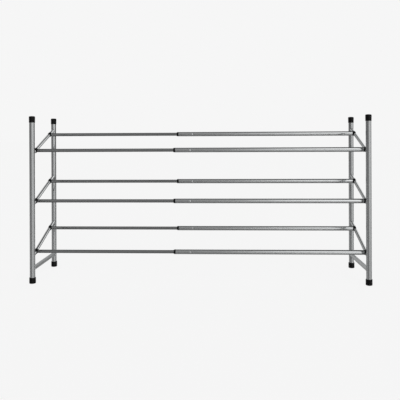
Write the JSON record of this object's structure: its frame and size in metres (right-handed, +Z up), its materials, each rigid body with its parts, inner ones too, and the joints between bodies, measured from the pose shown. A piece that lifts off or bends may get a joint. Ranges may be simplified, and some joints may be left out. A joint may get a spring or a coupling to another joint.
{
  "type": "shoe rack",
  "caption": "Free-standing metal shoe rack: sloping tiers of telescopic tube rails between two end frames, so its width pulls out; black plastic caps, feet, bushings and clips.",
  "frame": {"origin": "on the floor, under the middle of the rack in its pictured, half-open position", "axes": "+X to the right along the rails, +Y from the front to the back, +Z up"},
  "size_m": [1.0154, 0.2294, 0.5],
  "materials": {
    "chrome_tube": "polished chrome plate on steel tube",
    "black_foot": "satin black moulded plastic",
    "black_plastic": "satin black moulded plastic"
  },
  "bodies": {
    "right_half": {"right_front_post": "chrome_tube", "right_front_cap": "black_foot", "right_front_foot": "black_foot", "right_back_post": "chrome_tube", "right_back_cap": "black_foot", "right_back_foot": "black_foot", "right_bottom_shelf_bar": "chrome_tube", "right_middle_shelf_bar": "chrome_tube", "right_top_shelf_bar": "chrome_tube", "right_base_bar": "chrome_tube", "bottom_front_outer_rail": "chrome_tube", "bottom_front_bushing": "black_plastic", "bottom_front_right_clip": "black_plastic", "bottom_back_outer_rail": "chrome_tube", "bottom_back_bushing": "black_plastic", "bottom_back_right_clip": "black_plastic", "middle_front_outer_rail": "chrome_tube", "middle_front_bushing": "black_plastic", "middle_front_right_clip": "black_plastic", "middle_back_outer_rail": "chrome_tube", "middle_back_bushing": "black_plastic", "middle_back_right_clip": "black_plastic", "top_front_outer_rail": "chrome_tube", "top_front_bushing": "black_plastic", "top_front_right_clip": "black_plastic", "top_back_outer_rail": "chrome_tube", "top_back_bushing": "black_plastic", "top_back_right_clip": "black_plastic"},
    "left_half": {"left_front_post": "chrome_tube", "left_front_cap": "black_foot", "left_front_foot": "black_foot", "left_back_post": "chrome_tube", "left_back_cap": "black_foot", "left_back_foot": "black_foot", "left_bottom_shelf_bar": "chrome_tube", "left_middle_shelf_bar": "chrome_tube", "left_top_shelf_bar": "chrome_tube", "left_base_bar": "chrome_tube", "bottom_front_inner_rail": "chrome_tube", "bottom_front_glide": "black_plastic", "bottom_front_left_clip": "black_plastic", "bottom_back_inner_rail": "chrome_tube", "bottom_back_glide": "black_plastic", "bottom_back_left_clip": "black_plastic", "middle_front_inner_rail": "chrome_tube", "middle_front_glide": "black_plastic", "middle_front_left_clip": "black_plastic", "middle_back_inner_rail": "chrome_tube", "middle_back_glide": "black_plastic", "middle_back_left_clip": "black_plastic", "top_front_inner_rail": "chrome_tube", "top_front_glide": "black_plastic", "top_front_left_clip": "black_plastic", "top_back_inner_rail": "chrome_tube", "top_back_glide": "black_plastic", "top_back_left_clip": "black_plastic"}
  },
  "joints": [
    {"name": "pull_out", "type": "slide", "parent": "right_half", "child": "left_half", "axis": [-1, 0, 0], "range_m": [-0.41, 0.07]}
  ]
}
